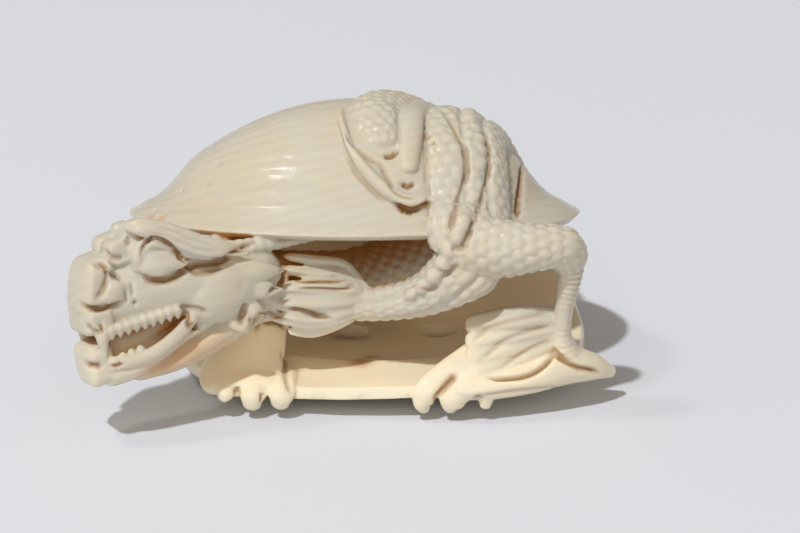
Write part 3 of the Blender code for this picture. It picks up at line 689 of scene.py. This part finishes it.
# The graver's lines: width and depth in millimetres, then lines as the eye sees them from the front.
CUTS = (
    # Eye, nose, lips and chin.
    (0.30, 0.60, (((142, 254), (145, 243), (152, 239), (160, 240), (167, 244), (175, 252), (182, 258),
                   (189, 263)),
                  ((80, 305), (87, 308), (95, 309), (105, 308), (114, 305), (121, 302)))),
    (0.38, 0.62, (((142, 276), (150, 280), (160, 281), (168, 280), (177, 276), (186, 269), (196, 264),
                   (210, 262), (225, 258), (240, 250), (254, 241)),)),
    (0.30, 0.34, (((95, 261), (102, 265), (107, 272), (107, 279), (103, 289), (97, 299)),
                  ((107, 272), (114, 275), (121, 280)), ((104, 251), (112, 257), (124, 258)),
                  ((127, 236), (129, 246)), ((86, 325), (92, 330), (99, 334)),
                  ((181, 307), (190, 308), (198, 309), (207, 313)))),
    (0.34, 0.50, (((101, 323), (103, 333)), ((85, 365), (93, 366), (102, 366)),
                  ((110, 367), (117, 367), (123, 364)), ((184, 311), (187, 318), (190, 325), (199, 329)))),
    (0.20, 0.22, (((93, 263), (100, 269)), ((100, 261), (108, 268)), ((109, 261), (117, 268)),
                  ((131, 283), (133, 296)), ((125, 290), (127, 302)))),
    (0.45, 0.40, (((190, 270), (200, 272), (212, 270), (224, 264)), ((247, 303), (243, 313), (240, 325)),
                  ((257, 331), (257, 321), (263, 315), (275, 316), (287, 322)))),
    (0.25, 0.14, (((146, 232), (165, 235), (185, 243), (205, 250), (225, 250)),
                  ((152, 226), (172, 230), (195, 240), (220, 246)))),
    (0.22, 0.36, (((135, 303),), ((155, 210),), ((167, 212),), ((182, 190),), ((433, 143),))),
    (0.40, 0.14, (((242, 286),), ((207, 185),), ((220, 163),))),
    # Tail tuft and the front leg.
    (0.30, 0.50, (((283, 268), (282, 281), (270, 293)), ((288, 278), (310, 280), (345, 279)),
                  ((300, 288), (320, 289), (340, 290), (354, 285)),
                  ((288, 310), (300, 311), (315, 315), (332, 319)), ((262, 322), (278, 323), (292, 330)))),
    (0.38, 0.30, (((282, 350), (284, 360), (285, 370), (287, 381), (291, 393)),)),
    (0.36, 0.45, (((237, 386), (237, 398)), ((263, 392), (263, 405)))),
    # Hind foot and its hair.
    (0.34, 0.55, (((488, 377), (500, 378), (520, 377), (533, 373), (543, 366), (550, 358), (554, 351)),
                  ((554, 351), (560, 357), (570, 363), (580, 368), (590, 370), (600, 373)))),
    (0.40, 0.55, (((456, 374), (449, 382), (443, 390), (437, 398), (433, 408)),
                  ((479, 397), (474, 407)))),
    (0.35, 0.24, (((548, 312), (520, 318), (490, 328), (470, 342)),
                  ((550, 326), (525, 332), (500, 344), (480, 360)),
                  ((552, 340), (535, 347), (515, 358), (500, 368)),
                  ((480, 397), (520, 391), (560, 387), (598, 381)))),
    # The band over the dome and the ridge along it.
    (0.34, 0.36, (((445, 112), (452, 124), (460, 138), (465, 152), (467, 168), (464, 184), (459, 198),
                   (455, 212), (450, 228), (446, 238)),
                  ((484, 128), (487, 140), (490, 152), (489, 168), (486, 184), (483, 198), (477, 212),
                   (472, 226), (467, 238), (460, 247)))),
    (0.34, 0.60, (((523, 163), (521, 185), (519, 200), (517, 216)),)),
    (0.32, 0.26, (((451, 248), (461, 249), (467, 243)), ((437, 271), (449, 272), (458, 264)),
                  ((418, 289), (430, 290), (438, 284)))),
    (0.28, 0.25, (((426, 112), (425, 140), (426, 170), (428, 200), (425, 228)),)),
    # The paw on the dome.
    (0.36, 0.30, (((345, 132), (355, 147), (366, 157), (380, 163)),
                  ((380, 163), (386, 176), (393, 188), (402, 196), (418, 198)))),
    (0.30, 0.16, (((398, 112), (399, 130), (399, 146)),)),
    (0.26, 0.50, (((384, 157), (392, 156), (397, 151)), ((402, 184), (408, 187), (415, 184)))),
    (0.34, 0.85, (((395, 205), (403, 209), (412, 211), (422, 208), (430, 204)),)),
    (0.25, 0.28, (((337, 121), (343, 145), (352, 165), (358, 176), (375, 194), (388, 203)),
                  ((427, 137),))),
)


# Amber spots as seen from the front: how wide in millimetres, how strong, and where. The first two are a flaw
# in the shell's floor, the next two lie at the dome's left tip; the rest, under the jaw, are warm painted
# shade.
SPOTS_AND_SHADE = ((2.0, 0.9, (360, 361)), (1.4, 0.8, (371, 357)), (1.0, 0.5, (150, 218)), (1.0, 0.5, (161, 219)),
         (2.4, 0.5, (152, 372)), (2.6, 0.5, (172, 362)), (2.8, 0.5, (196, 352)), (2.4, 0.35, (220, 345)))


def carving_piece():
    """The whole carving as one piece of ivory."""
    bm = bmesh.new()
    valve(bm, upper_skin, -1, SHELL_WALL, upper_ribs)
    valve(bm, lower_skin, 1, FLOOR_THICKNESS, lower_ribs)
    coil(bm)
    tail_tuft(bm)
    hind_leg(bm)
    leg_flame(bm)
    fore_leg(bm)
    dome_paw(bm)
    head(bm)
    bmesh.ops.recalc_face_normals(bm, faces=bm.faces)
    mesh = bpy.data.meshes.new("netsuke_carving")
    bm.to_mesh(mesh)
    bm.free()
    carving = bpy.data.objects.new("netsuke_carving", mesh)
    bpy.context.scene.collection.objects.link(carving)
    fuse(carving)
    engrave(carving, CUTS)
    lighten(carving)
    underside(carving)
    drop_crumbs(carving)
    recesses(carving)
    spots_and_shade = seen_places(carving, SPOTS_AND_SHADE)
    carving.data.transform(Matrix.Diagonal((UNIT, UNIT, UNIT, 1)) @ Matrix.Translation(-MIDDLE))
    carving.data.shade_smooth()
    carving.data.materials.clear()
    carving.data.materials.append(ivory(spots_and_shade))
    return carving


# Materials. Their patterns' sizes are in millimetres.

GROWTH_LINES = 1.122
CLOUDS = 7.692
TOOL_MARKS = 0.6667


def linear(code):
    """An sRGB hex colour as linear numbers."""
    parts = [int(code[k:k + 2], 16) / 255 for k in (0, 2, 4)]
    return [c / 12.92 if c <= 0.04045 else ((c + 0.055) / 1.055) ** 2.4 for c in parts] + [1]


def node(tree, kind, settings=None, inputs=None):
    """Adds a node with its settings, and sets or links its inputs."""
    made = tree.nodes.new(kind)
    for name, value in (settings or {}).items():
        setattr(made, name, value)
    for name, value in (inputs or {}).items():
        socket = next(each for each in made.inputs if each.name == name and each.enabled)
        if isinstance(value, bpy.types.NodeSocket):
            tree.links.new(value, socket)
        else:
            socket.default_value = value
    return made


def ivory(spots_and_shade):
    """Polished ivory, carved and rubbed by hand: light sinks in a little and comes back warm.

    Handled high places are pale and polished; the cuts and hollows keep an amber patina, darkened further as
    painted shade, and stay duller. The shell's low floor and the ivory low down are painted lighter as
    painted light, and warm patches of painted shade lie under the jaw.
    """
    material = bpy.data.materials.new("polished_ivory")
    material.use_nodes = True
    tree = material.node_tree
    shader = tree.nodes["Principled BSDF"]
    place = node(tree, "ShaderNodeTexCoord").outputs["Object"]
    recess = node(tree, "ShaderNodeAttribute", {"attribute_name": "recess"}).outputs["Fac"]
    graved = node(tree, "ShaderNodeAttribute", {"attribute_name": "graved"}).outputs["Fac"]
    painted_floor_light = node(tree, "ShaderNodeAttribute", {"attribute_name": "painted_floor_light"}).outputs["Fac"]
    # Growth lines of the tusk, very faint, and soft clouds of a warmer cream.
    across = node(tree, "ShaderNodeMapping",
                  inputs={"Vector": place, "Rotation": (0.5, 0.25, 0.1)}).outputs[0]
    lines = node(tree, "ShaderNodeTexWave", {"bands_direction": "Z"},
                 {"Vector": across, "Scale": math.tau / 20 / (GROWTH_LINES * UNIT), "Distortion": 1.5,
                  "Detail": 2.0, "Detail Scale": 0.4}).outputs["Fac"]
    cloud = node(tree, "ShaderNodeTexNoise",
                 inputs={"Vector": place, "Scale": 1 / (CLOUDS * UNIT), "Detail": 3.0}).outputs["Fac"]
    pale = node(tree, "ShaderNodeMix", {"data_type": "RGBA"},
                {"Factor": lines, "A": linear("C5BFAF"), "B": linear("C9C3B4")})
    warm = node(tree, "ShaderNodeMapRange",
                inputs={"Value": cloud, "From Min": 0.42, "From Max": 0.7, "To Max": 0.5})
    skin = node(tree, "ShaderNodeMix", {"data_type": "RGBA"},
                {"Factor": warm.outputs[0], "A": pale.outputs[2], "B": linear("C8BB9D")})
    # Low down the ivory is painted a little paler: painted light, as the bounce from the pale floor would
    # give it.
    height = node(tree, "ShaderNodeSeparateXYZ", inputs={"Vector": place}).outputs["Z"]
    low = node(tree, "ShaderNodeMapRange",
               inputs={"Value": height, "From Min": 0.004, "From Max": 0.011, "To Min": 1.0, "To Max": 0.0})
    skin = node(tree, "ShaderNodeMix", {"data_type": "RGBA"},
                {"Factor": low.outputs[0], "A": skin.outputs[2], "B": linear("E4DAC2")})
    # The shell's low floor is painted lighter, the deeper the more: painted light, standing for sunlight on
    # the floor.
    new = node(tree, "ShaderNodeMapRange", inputs={"Value": painted_floor_light, "From Min": 0.08, "From Max": 0.48})
    body = node(tree, "ShaderNodeMix", {"data_type": "RGBA"},
                {"Factor": new.outputs[0], "A": skin.outputs[2], "B": linear("F6E6C6")})
    # The patches under the jaw are painted shade; the flaw is the ivory's own.
    for width, strength, middle in spots_and_shade:
        away = node(tree, "ShaderNodeVectorMath", {"operation": "DISTANCE"})
        tree.links.new(place, away.inputs[0])
        away.inputs[1].default_value = (middle - MIDDLE) * UNIT
        near = node(tree, "ShaderNodeMapRange", {"interpolation_type": "SMOOTHSTEP"},
                    {"Value": away.outputs["Value"], "From Max": width * UNIT,
                     "To Min": strength, "To Max": 0.0})
        body = node(tree, "ShaderNodeMix", {"data_type": "RGBA"},
                    {"Factor": near.outputs[0], "A": body.outputs[2], "B": linear("C58A45")})
    # Hollows: amber patina where the hand never rubs, deepened as painted shade, and deepest in the graver's
    # lines.
    hollow = node(tree, "ShaderNodeMapRange", {"interpolation_type": "SMOOTHSTEP"},
                  {"Value": recess, "From Min": 0.48, "From Max": 0.82, "To Max": 0.97})
    stained_and_shaded = node(tree, "ShaderNodeMix", {"data_type": "RGBA"},
                   {"Factor": hollow.outputs[0], "A": body.outputs[2], "B": linear("C08C4A")})
    # The graver's lines are painted darker: patina in them, and painted shade.
    cut = node(tree, "ShaderNodeMapRange", inputs={"Value": graved, "From Min": 0.15, "To Max": 0.85})
    colour = node(tree, "ShaderNodeMix", {"data_type": "RGBA"},
                  {"Factor": cut.outputs[0], "A": stained_and_shaded.outputs[2], "B": linear("94682E")})
    tree.links.new(colour.outputs[2], shader.inputs["Base Color"])
    rough = node(tree, "ShaderNodeMapRange",
                 inputs={"Value": recess, "From Max": 0.8, "To Min": 0.22, "To Max": 0.55})
    tree.links.new(rough.outputs[0], shader.inputs["Roughness"])
    # Marks of the graver and of polishing: finer on the real thing, and drawn as coarse as they need to show.
    marks = node(tree, "ShaderNodeTexNoise",
                 inputs={"Vector": place, "Scale": 1 / (TOOL_MARKS * UNIT), "Detail": 3.0}).outputs["Fac"]
    bump = node(tree, "ShaderNodeBump", inputs={"Height": marks, "Strength": 0.12, "Distance": 0.0002})
    tree.links.new(bump.outputs[0], shader.inputs["Normal"])
    shader.inputs["IOR"].default_value = 1.54
    shader.inputs["Subsurface Weight"].default_value = 0.4
    shader.inputs["Subsurface Radius"].default_value = (1.0, 0.55, 0.25)
    shader.inputs["Subsurface Scale"].default_value = 0.0014
    return material


def floor_paper():
    """Plain matt paper, near white."""
    material = bpy.data.materials.new("matt_paper")
    material.use_nodes = True
    shader = material.node_tree.nodes["Principled BSDF"]
    shader.inputs["Base Color"].default_value = linear("D9DCE3")
    shader.inputs["Roughness"].default_value = 0.9
    return material


# Floor, light and camera.


def floor():
    """A wide sheet of pale paper under the carving."""
    bm = bmesh.new()
    bmesh.ops.create_grid(bm, x_segments=1, y_segments=1, size=1.5)
    mesh = bpy.data.meshes.new("floor")
    bm.to_mesh(mesh)
    bm.free()
    mesh.materials.append(floor_paper())
    sheet = bpy.data.objects.new("floor", mesh)
    bpy.context.scene.collection.objects.link(sheet)


def light():
    """A sun-like lamp from the front left, a soft one beside the camera and a small window for the gloss."""
    sun = bpy.data.lights.new("sun", "SUN")
    sun.energy = 2.265
    sun.angle = math.radians(2.5)
    sun.color = linear("FAFCFF")[:3]
    hang("sun", sun, Vector((0, 0, 1)), Vector((0.36, 0.6, -1.0))).visible_glossy = False
    soft = bpy.data.lights.new("soft_front", "AREA")
    soft.energy = 0.3
    soft.size = 0.28
    soft.color = linear("FFF6E8")[:3]
    hang("soft_front", soft, Vector((-0.06, -0.36, 0.13)), Vector((0.06, 0.36, -0.12)))
    window = bpy.data.lights.new("window", "AREA")
    window.energy = 0.22
    window.size = 0.05
    window.color = linear("FFFDF8")[:3]
    hang("window", window, Vector((-0.215, -0.05, 0.39)), Vector((0.215, 0.05, -0.38)))
    world = bpy.data.worlds.new("sky")
    world.use_nodes = True
    background = world.node_tree.nodes["Background"]
    background.inputs["Color"].default_value = linear("EDE4D8")
    background.inputs["Strength"].default_value = 0.4
    bpy.context.scene.world = world
    bpy.context.scene.view_settings.view_transform = "Standard"


def hang(name, lamp, place, way):
    """Puts a lamp at a place, shining along a way."""
    hung = bpy.data.objects.new(name, lamp)
    hung.location = place
    hung.rotation_mode = "QUATERNION"
    hung.rotation_quaternion = way.to_track_quat("-Z", "Y")
    bpy.context.scene.collection.objects.link(hung)
    return hung


def camera():
    """The photograph's view: 20 degrees down, square on to the shell's front."""
    lens = bpy.data.cameras.new("camera")
    lens.sensor_width = 36
    lens.lens = VIEW_SCALE * VIEW_DISTANCE / PICTURE_WIDTH * lens.sensor_width
    lens.clip_start = 0.01
    eye = bpy.data.objects.new("camera", lens)
    target = (VIEW_TARGET - MIDDLE) * UNIT
    eye.location = target + VIEW_BACK * VIEW_DISTANCE * UNIT
    eye.rotation_mode = "QUATERNION"
    eye.rotation_quaternion = (-VIEW_BACK).to_track_quat("-Z", "Y")
    bpy.context.scene.collection.objects.link(eye)
    bpy.context.scene.camera = eye


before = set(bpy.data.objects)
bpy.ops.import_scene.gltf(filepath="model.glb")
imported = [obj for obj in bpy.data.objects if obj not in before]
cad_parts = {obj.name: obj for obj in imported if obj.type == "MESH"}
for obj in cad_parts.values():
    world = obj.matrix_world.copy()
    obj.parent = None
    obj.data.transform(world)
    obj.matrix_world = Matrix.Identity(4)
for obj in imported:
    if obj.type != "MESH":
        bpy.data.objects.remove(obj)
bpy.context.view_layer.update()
carving = carving_piece()
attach(carving, "root")
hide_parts("dragon_in_clam")
floor()
light()
camera()
